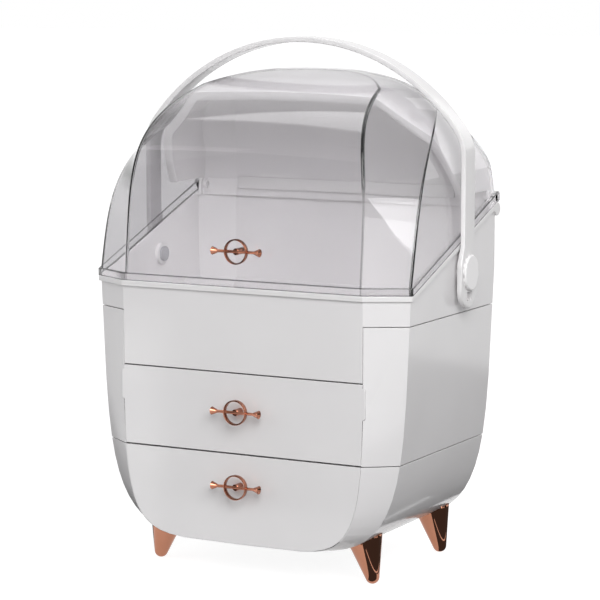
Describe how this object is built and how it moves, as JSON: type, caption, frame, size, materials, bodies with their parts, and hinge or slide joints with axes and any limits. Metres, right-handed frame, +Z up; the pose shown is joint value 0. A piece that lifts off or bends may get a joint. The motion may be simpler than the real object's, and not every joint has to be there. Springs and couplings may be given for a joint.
{
  "type": "makeup organizer",
  "caption": "Egg-shaped makeup cabinet on tapered feet with drawers, a clear tip-up dust cover over an open compartment, a fixed rear hood and a swinging carry handle.",
  "frame": {"origin": "on the ground plane under the middle of the bounding box", "axes": "+Z up, front with the drawers at -Y, +X to the right seen from the front"},
  "size_m": [0.336, 0.221, 0.4776],
  "materials": {
    "white_plastic": "glossy moulded plastic",
    "smoke_clear": "clear plastic with a light smoke tint",
    "rose_gold_metal": "polished rose gold plating on metal",
    "rose_gold_plated": "mirror rose gold plating",
    "steel": "plain steel"
  },
  "bodies": {
    "cabinet": {"lower_casing": "white_plastic", "middle_casing": "white_plastic", "upper_housing": "white_plastic", "rear_hood": "white_plastic", "foot_front_left": "rose_gold_plated", "foot_front_right": "rose_gold_plated", "foot_rear_left": "rose_gold_plated", "foot_rear_right": "rose_gold_plated", "foot_screws": "steel", "casing_screws": "steel", "housing_screws": "steel", "hood_screws": "steel", "hinge_pin_left": "white_plastic", "hinge_pin_right": "white_plastic", "handle_pivot_left": "steel", "handle_pivot_right": "steel"},
    "cover": {"dust_cover": "smoke_clear", "cover_pull_ring": "rose_gold_metal", "cover_pull_bar": "rose_gold_metal", "cover_pull_screw": "steel"},
    "handle": {"carry_handle": "white_plastic", "pivot_cap_left": "white_plastic", "pivot_cap_right": "white_plastic"},
    "middle_drawer": {"middle_drawer_front": "white_plastic", "middle_drawer_tray": "white_plastic", "middle_front_screws": "steel", "middle_pull_ring": "rose_gold_metal", "middle_pull_bar": "rose_gold_metal", "middle_pull_screw": "steel"},
    "lower_drawer": {"lower_drawer_front": "white_plastic", "lower_drawer_tray": "white_plastic", "lower_front_screws": "steel", "lower_pull_ring": "rose_gold_metal", "lower_pull_bar": "rose_gold_metal", "lower_pull_screw": "steel"}
  },
  "joints": [
    {"name": "cover_hinge", "type": "hinge", "parent": "cabinet", "child": "cover", "pos_m": [0, 0.098, 0.33282], "axis": [-1, 0, 0], "range_deg": [0, 55]},
    {"name": "handle_swing", "type": "hinge", "parent": "cabinet", "child": "handle", "pos_m": [0, 0.024, 0.2716], "axis": [-1, 0, 0], "range_deg": [0, 138]},
    {"name": "middle_slide", "type": "slide", "parent": "cabinet", "child": "middle_drawer", "axis": [0, -1, 0], "range_m": [0, 0.14]},
    {"name": "lower_slide", "type": "slide", "parent": "cabinet", "child": "lower_drawer", "axis": [0, -1, 0], "range_m": [0, 0.14]}
  ],
  "couplings": [
    {"joint": "handle_swing", "follows": "cover_hinge", "ratio": 2.5}
  ]
}
